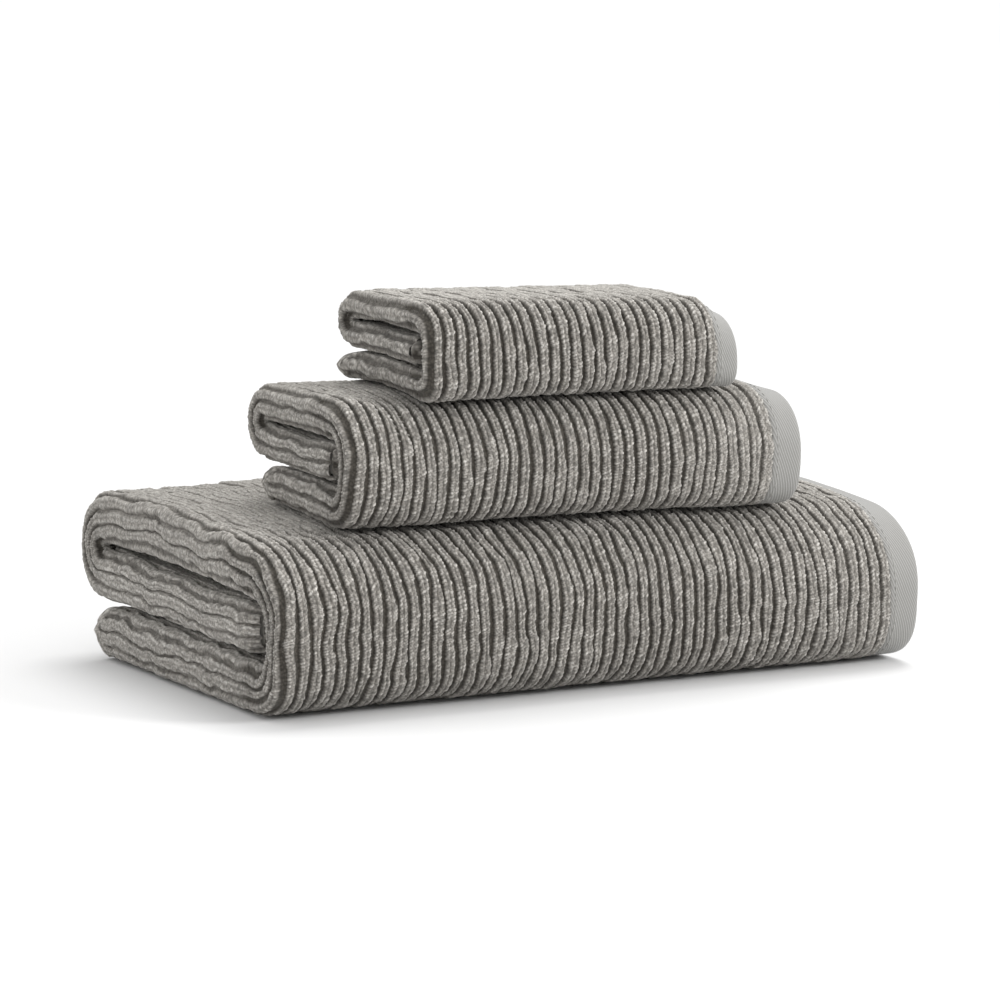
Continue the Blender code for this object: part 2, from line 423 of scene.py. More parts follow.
    def place_level(self, x, level, across):
        """Points of the stack of layers at a height `level` from its middle."""
        towel = self.towel
        x, level = self._squeeze(x, level, across)
        blend = smooth_step(x / towel.length + 0.5)
        y = z = out_y = out_z = 0.0
        for share, curve, normal in ((1 - blend, self.section[0], self.section_normal[0]),
                                     (blend, self.section[1], self.section_normal[1])):
            y = y + share * np.interp(across, self.across, curve[:, 0])
            z = z + share * np.interp(across, self.across, curve[:, 1])
            out_y = out_y + share * np.interp(across, self.across, normal[:, 0])
            out_z = out_z + share * np.interp(across, self.across, normal[:, 1])
        size = np.sqrt(out_y ** 2 + out_z ** 2)
        y = y - level * out_y / size
        z = z - level * out_z / size - self.LAYER_GAP / 2
        start = self.panel_marks[3]
        inner = np.clip((across - start) / (self.across_total - start), 0.0, 1.0)
        slit = self.SLIT * self.panel * np.sin(math.pi * inner) * (1 - blend) ** 2
        z = z - slit * np.clip(z / self.panel - 1.0, 0.0, 1.0)
        return self._settle(x, y, z)

    def _length_at(self, along):
        curve, normal = self.length_curve, self.length_normal
        x = np.interp(along, self.along, curve[:, 0])
        level = np.interp(along, self.along, curve[:, 1])
        out_x = np.interp(along, self.along, normal[:, 0])
        out_level = np.interp(along, self.along, normal[:, 1])
        size = np.sqrt(out_x ** 2 + out_level ** 2)
        return x, level, out_x / size, out_level / size

    def bend_at(self, along):
        return np.interp(along, self.along, self.bend)

    def _settle(self, x, y, z):
        """Lay the towel on what is under it; its hem end is thinner than its folded end."""
        towel = self.towel
        end = self.HEM_END * towel.length
        low_end = towel.hem_drop * smooth_step((x - towel.length / 2 + end) / end)
        cos, sin = math.cos(towel.turn), math.sin(towel.turn)
        px = towel.centre_x + cos * x - sin * y
        py = towel.centre_y + sin * x + cos * y
        from_middle = px - towel.centre_x
        foot_dome = towel.foot_dome * ((py - towel.foot_dome_y) / self.DOME_SPAN) ** 2
        past = (np.abs(from_middle) - towel.pressed_length / 2) / self.DOME_EASE
        pressed = 1.0 - 0.75 * smooth_step(past)
        top_dome = towel.top_dome * pressed * ((py - towel.top_dome_y) / self.DOME_SPAN) ** 2
        foot = towel.base_z + towel.foot_rise - towel.foot_slope * from_middle - foot_dome
        top = (towel.base_z + towel.height + towel.top_rise - towel.top_slope * from_middle
               - top_dome)
        pz = foot + z / towel.height * (top - foot) * (1.0 - low_end)
        return slump(np.stack([px, py, pz], axis=-1))


def slump(points):
    """A slow unevenness shared by the whole stack, none where it lies on the floor."""
    x, y, z = points[..., 0], points[..., 1], points[..., 2]
    up = np.minimum(z / 0.08, 1.0)
    dz = 0.0011 * lattice_noise(x / 0.062 + 40.3, y / 0.058 + 17.1, 5) * up
    dy = 0.0012 * lattice_noise(x / 0.07 + 11.7, z / 0.05 + 3.3, 6)
    dx = 0.0009 * lattice_noise(y / 0.05 + 31.7, z / 0.045 + 9.3, 7)
    return points + np.stack([dx, dy, dz], axis=-1)


# ------------------------------------------------------------------ mesh building


def grid_faces(rows, columns, first=0):
    i = np.arange((rows - 1) * (columns - 1))
    r, c = i // (columns - 1), i % (columns - 1)
    a = first + r * columns + c
    return np.stack([a, a + columns, a + columns + 1, a + 1], axis=1)


def make_mesh(name, points, faces, maps, cloth, shade=None):
    """A mesh object from arrays; maps holds a (points, 2) array for each UV map, and cloth
    is the function that makes its material."""
    mesh = bpy.data.meshes.new(name)
    mesh.vertices.add(len(points))
    mesh.vertices.foreach_set("co", np.ascontiguousarray(points, np.float32).ravel())
    mesh.loops.add(faces.size)
    mesh.loops.foreach_set("vertex_index", faces.ravel().astype(np.int32))
    mesh.polygons.add(len(faces))
    mesh.polygons.foreach_set("loop_start", np.arange(0, faces.size, 4, dtype=np.int32))
    mesh.polygons.foreach_set("use_smooth", np.ones(len(faces), bool))
    for map_name, uv in maps.items():
        layer = mesh.uv_layers.new(name=map_name)
        layer.data.foreach_set("uv", uv[faces.ravel()].astype(np.float32).ravel())
    if shade is not None:
        # Painted shade per point, which the terry material turns into its colour.
        layer = mesh.attributes.new("pile_height", "FLOAT", "POINT")
        layer.data.foreach_set("value", shade.astype(np.float32))
    mesh.update(calc_edges=True)
    mesh.materials.append(material_of(cloth))
    piece = bpy.data.objects.new(name, mesh)
    bpy.context.scene.collection.objects.link(piece)
    return piece


def unit_map(u, v, left=0.0, right=1.0):
    """A UV map that fills a strip of the unit square, with a small margin."""
    margin = 0.004
    wide = right - left
    share_u = (u - u.min()) / max(u.max() - u.min(), 1e-9)
    share_v = (v - v.min()) / max(v.max() - v.min(), 1e-9)
    return np.stack([left + margin + (wide - 2 * margin) * share_u,
                     margin + (1 - 2 * margin) * share_v], axis=1)


def finish_piece(piece, fold, replaced):
    """Join a piece to its towel's body, and hide the solids it stands for."""
    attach(piece, fold.name)
    for node in replaced:
        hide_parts(node)
    return piece


# ------------------------------------------------------------------ the ribbed pile


class Ribs:
    """The pile's ribs: where each groove runs and how high the loops stand."""

    ROUND_PART = 0.8          # share of half a rib that is round; the rest is groove
    LEAST_HALF = 0.28         # half a rib's least width where ribs crowd, in pitches
    FIRST_EDGE = 0.00045      # raggedness of the first rib's edge at the end hem
    TURNING = (8.0, 24.0)     # bend per metre where the cloth starts to turn over, and
                              # how much more until it is wholly in the turn
    SHUT = 0.78               # how high a shut groove's floor stands, of the crest
    BRIDGED = 0.5             # and a bridged one's
    LEAST_PILE = 0.00004
    HEM_CALM = 0.3            # share of the length near the hem with shallower grooves

    def __init__(self, fold, terry, face, first, last):
        self.fold = fold
        self.terry = terry
        self.face = face
        self.first = first
        self.last = last
        self.seed = fold.towel.seed + (0 if face > 0 else 5)

    def noise(self, a, b, own):
        """Noise of this face of this towel; own keeps one use of it apart from the next."""
        return lattice_noise(a, b, self.seed + own)

    def groove_line(self, k, across):
        """How far along the cloth groove k runs, at each place across it."""
        pitch = self.terry.rib_pitch
        broad = self.noise(k * pitch / 0.06 + 7.3, across / 0.032 + 2.1, 0)
        close = self.noise(k * 1.7 + 3.1, across / 0.013, 1)
        near = self.noise(k * 2.3 + 5.1, across / 0.0055, 4)
        kink = self.noise(k * pitch / 0.017 + 1.9, across / 0.011 + 6.6, 12)
        stray = self.fold.towel.wander * (broad + 0.6 * kink + 0.55 * close + 0.25 * near)
        ragged = self.noise(k + 0.5, across / 0.0016, 2)
        ragged += 0.6 * self.noise(k + 9.5, across / 0.0045, 3)
        return k * pitch + np.where(k == 0, self.FIRST_EDGE * ragged, stray)

    def openness(self, k, across):
        """How far the grooves open: wide round the bends, nearly shut on the flat."""
        marks = self.fold.panel_marks
        panel = self.fold.panel
        front = smooth_step((across - marks[0] + 0.4 * panel) / (0.7 * panel))
        front = front * smooth_step((marks[1] + 1.1 * panel - across) / (1.3 * panel))
        back_bend = np.abs(across - (marks[2] + marks[3]) / 2)
        back = smooth_step(1.0 - back_bend / (1.2 * panel))
        patchy = 0.06 + 0.2 * self.noise(k * 0.23, across / 0.03, 20)
        bunched = 0.5 + 0.5 * self.noise(k * 0.11, across / 0.05, 22)
        calm_length = self.HEM_CALM * self.fold.towel.length
        near_hem = 1.0 - smooth_step(k * self.terry.rib_pitch / calm_length)
        front = front * (1.0 - 0.3 * near_hem) * (1.0 - (0.2 + 0.4 * near_hem) * bunched)
        return np.clip(np.maximum(front, 0.6 * back) + patchy * (1 - front), 0.0, 1.0)

    def closed(self, k, side, across):
        """Where a groove is bridged for a few millimetres by the loops beside it."""
        groove = k + (side > 0)
        bridge = self.noise(groove * 1.3 + 2.2, across / 0.0075, 24)
        return smooth_step((bridge - 0.3) / 0.3)

    def surface(self, across, per_rib):
        """Points, cloth coordinates and painted shade of the ribs from first to last."""
        pitch = self.terry.rib_pitch
        ground = self.terry.ground_thickness / 2
        across = across[None, :]
        base = np.linspace(-1.0, 1.0, per_rib + 1)[:-1]
        k = np.repeat(np.arange(self.first, self.last), per_rib)
        u = np.tile(base, self.last - self.first)
        k = np.append(k, self.last)[:, None].astype(float)
        u = np.append(u, -1.0)[:, None]
        off = np.abs(u)
        side = np.where(u < 0, -1.0, 1.0)
        near = self.groove_line(k, across)
        far = self.groove_line(k + 1, across)
        middle = (near + far) / 2
        half = np.maximum((far - near) / 2, self.LEAST_HALF * pitch)
        bend = self.fold.bend_at(middle) * self.face
        packed = smooth_step((bend - self.TURNING[0]) / self.TURNING[1])
        open_ = np.maximum(self.openness(k, across), 0.2 * packed)
        closed = self.closed(k, side, across)

        # How far the rib spreads towards its grooves.
        width = 0.95 - 0.25 * open_ * (1.0 - 0.8 * closed)
        width = width + 0.07 * self.noise(2 * k + side, across / 0.007, 21)
        turn = np.minimum(off / self.ROUND_PART, 1.0) * math.pi / 2
        bump, dip = self.loops(k, side, off, across, packed)
        edge = np.minimum(width * (1.0 + 0.42 * (bump - 0.5)), 0.99)
        floor_part = np.clip((off - self.ROUND_PART) / (1 - self.ROUND_PART), 0.0, 1.0)
        spread = np.minimum(edge * np.sin(turn) + (1.0 - edge) * floor_part, 1.0)

        # How high it stands, from its grooves to its crest, with its loops on it.
        crest = self.fold.pile_reach - ground - 0.0004
        crest = crest * (1.0 + 0.10 * self.noise(k * 1.9, across / 0.012, 6))
        crest = crest * np.clip(half * 2 / pitch, 0.75, 1.12)
        low = self.SHUT * (1.0 - open_) ** 1.5 + self.BRIDGED * open_ * closed
        low = (crest * low - 0.0001) * (1.0 - 0.4 * packed)
        profile = np.maximum(np.cos(turn), 0.0) ** 0.55
        height = low + (crest - low) * profile * (1.0 - 0.22 * dip)
        relief = self.terry.loop_relief * (0.5 + 0.5 * open_)
        height = height + relief * (bump - 0.5) * np.maximum(0.5 + 0.5 * profile, packed)
        height = np.maximum(height, self.LEAST_PILE)
        # Inside a bend the ribs are crowded, outside it they fan out.
        fan = 1.0 + np.clip(bend, -20.0, 200.0) * (height + ground)
        reach = middle + side * spread * half / fan
        points = self.fold.place(reach, across, self.face * (ground + height))

        # Painted shade for the pile colour: loops light, grooves and the dip between the rows
        # dark with painted shade, flats evened out.
        flat = 0.4 * (1.0 - open_)
        shade = (0.16 + 1.05 * bump) * (1.0 - 0.45 * dip) * (1.0 - flat) + 0.66 * flat
        # depth darkens the floors of the grooves: painted shade.
        depth = 1.0 - (1.0 - profile) * (0.15 + 0.85 * open_ + 0.4 * packed)
        return points, reach, shade * depth

    def loops(self, k, side, off, across, packed):
        """Two rows of leaning loops on each rib: how far each stands out, and the dip
        between the rows; no two loops are quite alike.  Where the cloth turns over
        (packed is 1) the rows spread and fill the grooves."""
        row = 2 * k + (side > 0)
        lay = self.noise(k * 0.31, across / 0.03, 7)
        shift = cell_value(row, row * 0, self.seed + 8)
        stretch = self.noise(row * 1.7, across / 0.006, 9)
        phase = across / self.terry.loop_pitch + shift + 0.7 * stretch
        phase = phase + side * off * (1.35 + 0.8 * lay)
        cell = np.floor(phase)
        stand_out = 0.36 + 0.5 * cell_value(cell, row, self.seed + 10)
        swell = cell_value(cell, row, self.seed + 11)
        centre = 0.40 + 0.2 * (swell - 0.5)
        fall = 0.55 - 0.45 * packed
        mound = 1.0 - fall * np.clip(np.abs(off - centre) / 0.45, 0.0, 1.0) ** 2
        bump = np.sin(math.pi * (phase - cell)) ** 0.8 * stand_out * mound
        dip = (1.0 - np.minimum(off / 0.22, 1.0)) * (0.5 + 0.9 * swell)
        return bump, dip


def spread_steps(marks, steps):
    """Sample places between marks, each stretch with its own step."""
    out = []
    for a, b, step in zip(marks, marks[1:], steps):
        count = max(2, int(round((b - a) / step)))
        out.append(np.linspace(a, b, count, endpoint=False))
    return np.append(np.concatenate(out), marks[-1])


def pile_across(fold, terry, fine, coarse):
    """Places across the towel, fine where the pile shows from front fold to back bend."""
    hem = terry.side_hem_width + fold.SEAM_GAP
    marks = [hem, fold.panel_marks[0] - 0.012, fold.panel_marks[1] + 0.014,
             fold.panel_marks[3] + 0.006, fold.across_total - hem]
    return spread_steps(marks, [coarse, fine, fine * 1.2, coarse])


def rib_blocks(fold, terry):
    """Ribs whose outer face shows: the outer pass, the left turn, and the right turn."""
    pitch = terry.rib_pitch
    past_turn = int(math.ceil(fold.turns[1] / pitch)) + 3
    total = int(fold.along_total / pitch)
    blocks = [(0, min(past_turn, total))]
    if len(fold.turns) > 2:
        first = int(fold.turns[2] / pitch) - 2
        last = int(math.ceil(fold.turns[3] / pitch)) + 2
        blocks.append((max(first, blocks[0][1]), last))
    return blocks, total


def stack_blocks(parts):
    """Join the arrays of several rib blocks into one set of points, faces and maps."""
    points, faces, bake, cloth, shade = [], [], [], [], []
    first = 0
    widths = np.cumsum([0.0] + [p[0].shape[0] * p[0].shape[1] for p in parts])
    widths /= widths[-1]
    for i, (grid, reach, across, share) in enumerate(parts):
        rows, columns = grid.shape[:2]
        points.append(grid.reshape(-1, 3))
        faces.append(grid_faces(rows, columns, first))
        u = np.repeat(np.arange(rows, dtype=float), columns)
        v = np.tile(across, rows)
        bake.append(unit_map(u, v, widths[i], widths[i + 1]))
        cloth.append(np.stack([reach.ravel() * 1000, v * 1000], axis=1))
        shade.append(share.ravel())
        first += rows * columns
    maps = {"OFBake": np.concatenate(bake), "cloth_mm": np.concatenate(cloth)}
    return np.concatenate(points), np.concatenate(faces), maps, np.concatenate(shade)


def build_pile(fold, terry, name, spans):
    """One piece of pile from its spans: face, first and last rib, places across the
    towel, and mesh steps over one rib."""
    parts = []
    for face, first, last, across, per_rib in spans:
        grid, reach, shade = Ribs(fold, terry, face, first, last).surface(across, per_rib)
        parts.append((grid, reach, across, shade))
    points, faces, maps, shade = stack_blocks(parts)
    piece = make_mesh(fold.name + name, points, faces, maps, looped_cotton_terry, shade)
    return finish_piece(piece, fold, [])


def build_outer_pile(fold, terry):
    """The pile that shows, finest on the outer pass and the left hand turn."""
    spans = []
    for i, (first, last) in enumerate(rib_blocks(fold, terry)[0]):
        fine = terry.fine_step if i == 0 else terry.coarse_step * 0.7
        across = pile_across(fold, terry, fine, terry.coarse_step)
        spans.append((1.0, first, last, across, 14))
    return build_pile(fold, terry, "_ribbed_pile", spans)


def build_inner_pile(fold, terry):
    """The pile inside the folds: coarse, but with its ribs, on both faces of the cloth."""
    blocks, total = rib_blocks(fold, terry)
    ribs = [(1.0, blocks[0][1], blocks[1][0] if len(blocks) > 1 else total)]
    if len(blocks) > 1:
        ribs.append((1.0, blocks[1][1], total))
    ribs.append((-1.0, 0, total))
    across = pile_across(fold, terry, 0.006, 0.008)
    spans = [span + (across, 4) for span in ribs if span[2] > span[1]]
    return build_pile(fold, terry, "_inner_pile", spans)


# ------------------------------------------------------------------ bands of flat cloth

HEM_LAP = 0.0015        # how far the twill band runs on under the first rib
HEM_LIFT = 0.0006       # of the twill band over the middle of the cloth
CORNER_RUN = 0.006      # over which a hem's corner is rounded off
CORNER_PULL = 0.0045    # how far its corner is drawn in
EDGE_RUN = 0.0022       # over which its side edges flatten
STITCH_LENGTH = 0.0031
STITCH_INSET = 0.0019   # of the stitch row from the hem's inside edge
THREAD_RADIUS = 0.00028


def band_mesh(name, fold, along, across, lift_of, cloth, shade=None):
    """A closed band of cloth: outer face, inner face and the edges between them.

    lift_of(face) gives the height of that face of the band above the cloth's middle."""
    a, b = along[:, None], across[None, :]
    top = fold.place(a, b, lift_of(1.0))
    low = fold.place(a, b, lift_of(-1.0))
    return closed_band(name, top, low, along, across, cloth, shade)


def closed_band(name, top, low, along, across, cloth, shade=None):
    """A band closed from the grids of its two faces, each face with half of the bake map."""
    rows, columns = top.shape[:2]
    count = rows * columns
    points = np.concatenate([top.reshape(-1, 3), low.reshape(-1, 3)])
    faces = [grid_faces(rows, columns), grid_faces(rows, columns, count)[:, ::-1]]
    index = np.arange(count).reshape(rows, columns)
    for ring in (index[0, ::-1], index[-1], index[:, 0], index[::-1, -1]):
        edge = np.stack([ring[:-1], ring[1:], ring[1:] + count, ring[:-1] + count], axis=1)
        faces.append(edge)
    faces = np.concatenate(faces)
    u, v = np.repeat(along, columns), np.tile(across, rows)
    bake = np.concatenate([unit_map(u, v, 0.0, 0.5), unit_map(u, v, 0.5, 1.0)])
    spots = np.stack([np.tile(u, 2) * 1000, np.tile(v, 2) * 1000], axis=1)
    if shade is not None:
        shade = np.tile(shade.ravel(), 2)
    maps = {"OFBake": bake, "cloth_mm": spots}
    return make_mesh(name, points, faces, maps, cloth, shade)


def bend_samples(fold, straight, turn_steps):
    """Places along the cloth: few on the straight runs, many round the turns."""
    marks = [0.0] + list(fold.turns) + [fold.along_total]
    steps = []
    for i, (a, b) in enumerate(zip(marks, marks[1:])):
        steps.append((b - a) / turn_steps if i % 2 else straight)
    return spread_steps(marks, steps)


def across_samples(fold, start, stop, straight, bend_step):
    """Places across the cloth, closer together round the front fold and the back bend."""
    marks = [start] + [m for m in fold.panel_marks if start < m < stop] + [stop]
    inside = [fold.panel_marks[0], fold.panel_marks[2]]
    steps = [bend_step if any(abs(a - m) < 1e-9 for m in inside) else straight
             for a in marks[:-1]]
    return spread_steps(marks, steps)


def build_ground_cloth(fold, terry):
    half = terry.ground_thickness / 2
    along = bend_samples(fold, 0.006, 16)
    hem = terry.side_hem_width
    across = across_samples(fold, hem * 0.5, fold.across_total - hem * 0.5, 0.006, 0.0025)
    piece = band_mesh(fold.name + "_ground_cloth", fold, along, across,
                      lambda face: face * half, plain_woven_cotton)
    return finish_piece(piece, fold, [fold.name + "_terry_cloth"])


def rounded_profile(count):
    """A flat lozenge with round ends: places from -1 to 1 and their half height."""
    t = np.sin(np.linspace(-1.0, 1.0, count) * math.pi / 2)
    return t, (1.0 - np.abs(t) ** 8) ** 0.5


def end_hem_place(fold, which):
    """Where an end hem's free edge is, its level, and which way the cloth lies from it."""
    if which == "outer":
        return fold.towel.length / 2, fold.levels[0], -1.0
    return fold.inner_hem_edge_x(), fold.levels[-1], 1.0 if fold.ends_left else -1.0


def build_end_hem(fold, terry, which):
    """A doubled band of twill across the end of the cloth, its free edge turned over and
    its corners rounded and flattened."""
    towel = fold.towel
    edge, level, inward = end_hem_place(fold, which)
    width = towel.hem_width + HEM_LAP
    t, full = rounded_profile(15)
    x = edge + inward * (1 - t) / 2 * width
    fine = 0.0018 if which == "outer" else 0.004
    across = across_samples(fold, 0.0, fold.across_total, fine * 1.4, fine)
    corner = CORNER_RUN * (1.0 - np.cos(np.linspace(0.0, math.pi / 2, 7)))
    clear = CORNER_RUN + 0.0005
    middle = across[(across > clear) & (across < fold.across_total - clear)]
    across = np.concatenate([corner, middle, fold.across_total - corner[::-1]])
    ripple = 0.00035 * lattice_noise(across / 0.022, 4.4, towel.seed + 60)[None, :]
    sway = 0.0005 * lattice_noise(across / 0.035, 8.8, towel.seed + 61)[None, :]
    share = ((1 + t) / 2)[:, None]
    from_corner = np.minimum(across, fold.across_total - across)[None, :]
    away = 1.0 - np.minimum(from_corner / CORNER_RUN, 1.0)
    pulled = inward * CORNER_PULL * (1.0 - np.sqrt(1.0 - away ** 2))
    edge_run = 1.0 - np.minimum(from_corner / EDGE_RUN, 1.0)
    thin = 0.25 + 0.75 * np.sqrt(1.0 - edge_run ** 2)
    grids = []
    for face in (1.0, -1.0):
        half = full[:, None] * thin * terry.hem_thickness / 2
        height = level + HEM_LIFT + face * half + ripple * share
        place_x = x[:, None] + (sway + pulled) * share
        grids.append(fold.place_level(place_x, height, across[None, :]))
    order = slice(None, None, -1 if inward < 0 else 1)
    top, low = grids[0][order], grids[1][order]
    along = (1 - t) / 2 * width
    piece = closed_band(fold.name + "_" + which + "_twill_hem", top, low, along[order], across,
                        cotton_twill_weave)
    node = fold.name + "_" + which + "_end_hem"
    return finish_piece(piece, fold, [node])


def build_side_hem(fold, terry, which):
    """The narrow hem along one long side: the towelling turned under, its loops pressed."""
    width = terry.side_hem_width
    t, full = rounded_profile(11)
    inner = which == "inner"
    middle = fold.across_total - width / 2 if inner else width / 2
    across = middle + t * width / 2
    along = bend_samples(fold, 0.0011, 60)
    lumps = lattice_noise(along[:, None] / 0.0016, across[None, :] / 0.0013,
                          fold.towel.seed + 70)
    half = full[None, :] * (0.82 * fold.pile_reach + 0.0005 * lumps)
    # The inner hem lies deep in the folds and is given painted shade; the lumps vary it.
    shade = (0.2 if inner else 0.6) + 0.4 * lumps
    name = fold.name + "_" + which + "_side_hem_band"
    piece = band_mesh(name, fold, along, across, lambda face: face * half,
                      looped_cotton_terry, shade)
    node = fold.name + "_" + which + "_side_hem"
    return finish_piece(piece, fold, [node])


def build_stitching(fold, terry, which):
    """A lockstitch along the end hem: each stitch is a short thread, dipping at its ends."""
    towel = fold.towel
    edge, level, inward = end_hem_place(fold, which)
    x = edge + inward * (towel.hem_width - STITCH_INSET)
    stitch, thread = STITCH_LENGTH, THREAD_RADIUS
    count = int(fold.across_total / stitch)
    t = np.linspace(-0.46, 0.46, 7)
    ring = np.linspace(0, 2 * math.pi, 7)
    starts = (np.arange(count) + 0.5) * stitch
    across = (starts[:, None] + t[None, :] * stitch)[:, :, None]
    swell = (1.0 - (np.abs(t) / 0.5) ** 4)[None, :, None]
    top = level + HEM_LIFT + terry.hem_thickness / 2
    rise = top - thread * 0.6 + 0.9 * thread * np.cos(t * math.pi)[None, :, None]
    height = rise + thread * swell * np.sin(ring)[None, None, :]
    side = x + thread * swell * np.cos(ring)[None, None, :]
    side, across, height = np.broadcast_arrays(side, across, height)
    grid = fold.place_level(side, height, across)
    faces = np.concatenate([grid_faces(7, 7, i * 49) for i in range(count)])
    points = grid.reshape(-1, 3)
    # Each stitch has its own square of the map, twenty to a row.
    column, row = np.arange(count) % 20, np.arange(count) // 20
    u = np.tile(np.repeat(np.arange(7.0), 7), count) + 8.0 * np.repeat(column, 49)
    v = np.tile(np.arange(7.0), 7 * count) + 8.0 * np.repeat(row, 49)
    maps = {"OFBake": unit_map(u, v), "cloth_mm": np.stack([u, v], axis=1)}
    piece = make_mesh(fold.name + "_" + which + "_stitches", points, faces, maps,
                      twisted_cotton_thread)
    node = fold.name + "_" + which + "_end_stitching"
    return finish_piece(piece, fold, [node])


# ------------------------------------------------------------------ materials


def add_node(tree, kind, sockets, **settings):
    """Add a node with its settings; a socket is linked to another node's output or set."""
    node = tree.nodes.new(kind)
    for key, value in settings.items():
        setattr(node, key, value)
    for key, value in sockets.items():
        if isinstance(value, bpy.types.NodeSocket):
            tree.links.new(value, node.inputs[key])
        else:
            node.inputs[key].default_value = value
    return node


def material_of(fill):
    """The material named as fill is; fill(tree, cotton) makes it the first time."""
    material = bpy.data.materials.get(fill.__name__)
    if material is None:
        material = bpy.data.materials.new(fill.__name__)
        material.use_nodes = True
        material.node_tree.nodes.clear()
        fill(material.node_tree, bpy.context.scene.cotton)
    return material


def looped_cotton_terry(tree, cotton):
    """Looped cotton terry, yarn dyed a warm grey: soft, dull, with painted shade down in the
    grooves and painted light on the loop tips.
    """
    # The painted shade per point chooses the pile colour along the ramp.
    height = add_node(tree, "ShaderNodeAttribute", {}, attribute_name="pile_height")
    cloth = add_node(tree, "ShaderNodeUVMap", {}, uv_map="cloth_mm").outputs[0]
    ramp = add_node(tree, "ShaderNodeValToRGB", {"Fac": height.outputs["Fac"]})
    deep, tips = ramp.color_ramp.elements
    deep.color, deep.position = cotton.pile_deep, 0.05
    tips.color, tips.position = cotton.pile_tips, 0.95
    ramp.color_ramp.elements.new(0.5).color = cotton.pile_middle
    # Yarn loops about 1.2 mm across, with painted light at their middles and painted shade in
    # the gaps between them, and a slow drift of tone.
    tufts = add_node(tree, "ShaderNodeTexVoronoi", {"Vector": cloth, "Scale": 1.0})
    gap_shade = add_node(tree, "ShaderNodeMapRange",
                      {"Value": tufts.outputs["Distance"], "From Min": 0.2, "From Max": 0.75,
                       "To Min": 1.2, "To Max": 0.55})
    tone = add_node(tree, "ShaderNodeTexNoise", {"Vector": cloth, "Scale": 0.03, "Detail": 3.0})
    drift = add_node(tree, "ShaderNodeMapRange",
                     {"Value": tone.outputs["Fac"], "To Min": 0.93, "To Max": 1.07})
    both = add_node(tree, "ShaderNodeMath", {0: gap_shade.outputs[0], 1: drift.outputs[0]},
                    operation="MULTIPLY")
    # The pile colour with its painted shade and painted light, times the slow drift of tone.
    dyed = add_node(tree, "ShaderNodeVectorMath",
                    {0: ramp.outputs[0], "Scale": both.outputs[0]}, operation="SCALE")
    # Cotton fibres stand off the yarn every 0.4 mm or so.
    fibre = add_node(tree, "ShaderNodeTexNoise", {"Vector": cloth, "Scale": 2.6, "Detail": 4.0})
    bump = add_node(tree, "ShaderNodeBump",
                    {"Height": fibre.outputs["Fac"], "Strength": 0.5, "Distance": 0.0004})
    shader = add_node(tree, "ShaderNodeBsdfPrincipled",
                      {"Base Color": dyed.outputs[0], "Normal": bump.outputs[0],
                       "Roughness": 0.95, "IOR": 1.45, "Specular IOR Level": 0.15,
                       "Sheen Weight": 0.25, "Sheen Roughness": 0.6,
                       "Sheen Tint": cotton.pile_bloom})
    add_node(tree, "ShaderNodeOutputMaterial", {"Surface": shader.outputs[0]})


def finish_woven(tree, weave, dark, light, relief, **finish):
    """Dye the weave's low and high threads, and raise the high ones where relief is given."""
    mix = add_node(tree, "ShaderNodeMix", {"Factor": weave.outputs["Fac"], 6: dark, 7: light},
                   data_type="RGBA")
    shader = add_node(tree, "ShaderNodeBsdfPrincipled", {"Base Color": mix.outputs[2]})
    for name, value in finish.items():
        shader.inputs[name.replace("_", " ")].default_value = value
    if relief:
        bump = add_node(tree, "ShaderNodeBump", {"Height": weave.outputs["Fac"],
                                                 "Strength": relief, "Distance": 0.0003})
        tree.links.new(bump.outputs[0], shader.inputs["Normal"])
    add_node(tree, "ShaderNodeOutputMaterial", {"Surface": shader.outputs[0]})


def plain_woven_cotton(tree, cotton):
    """Plain-woven cotton ground, flat and dull, with its weft showing as fine lines."""
    cloth = add_node(tree, "ShaderNodeUVMap", {}, uv_map="cloth_mm").outputs[0]
    # Weft threads really lie about 0.5 mm apart; drawn at 0.9 mm so that they show.
    weft = add_node(tree, "ShaderNodeTexWave",
                    {"Vector": cloth, "Scale": 0.35, "Distortion": 1.2, "Detail": 2.0},
                    bands_direction="Y")
    finish_woven(tree, weft, cotton.ground_dark, cotton.ground_light, 0.4, Roughness=0.9,
                 Specular_IOR_Level=0.2, Sheen_Weight=0.15)


def cotton_twill_weave(tree, cotton):
    """Cotton twill, flat woven: steep fine wales and a faint sheen where threads float."""
    cloth = add_node(tree, "ShaderNodeUVMap", {}, uv_map="cloth_mm").outputs[0]
    turned = add_node(tree, "ShaderNodeMapping",
                      {"Vector": cloth, "Rotation": (0.0, 0.0, math.radians(27))})
    # Wales 1.25 mm apart, a little coarser than the real weave so that they show.
    wales = add_node(tree, "ShaderNodeTexWave",
                     {"Vector": turned.outputs[0], "Scale": 0.25, "Distortion": 0.25,
                      "Detail": 2.0}, bands_direction="X")
    finish_woven(tree, wales, cotton.twill_dark, cotton.twill_light, 0.35, Roughness=0.62,
                 Specular_IOR_Level=0.35, Sheen_Weight=0.2)


def twisted_cotton_thread(tree, cotton):
    """Twisted cotton sewing thread, with a faint twist along it."""
    cloth = add_node(tree, "ShaderNodeUVMap", {}, uv_map="cloth_mm").outputs[0]
    twist = add_node(tree, "ShaderNodeTexWave", {"Vector": cloth, "Scale": 0.6},
                     bands_direction="DIAGONAL")
    finish_woven(tree, twist, cotton.thread_dark, cotton.thread_light, None, Roughness=0.6)


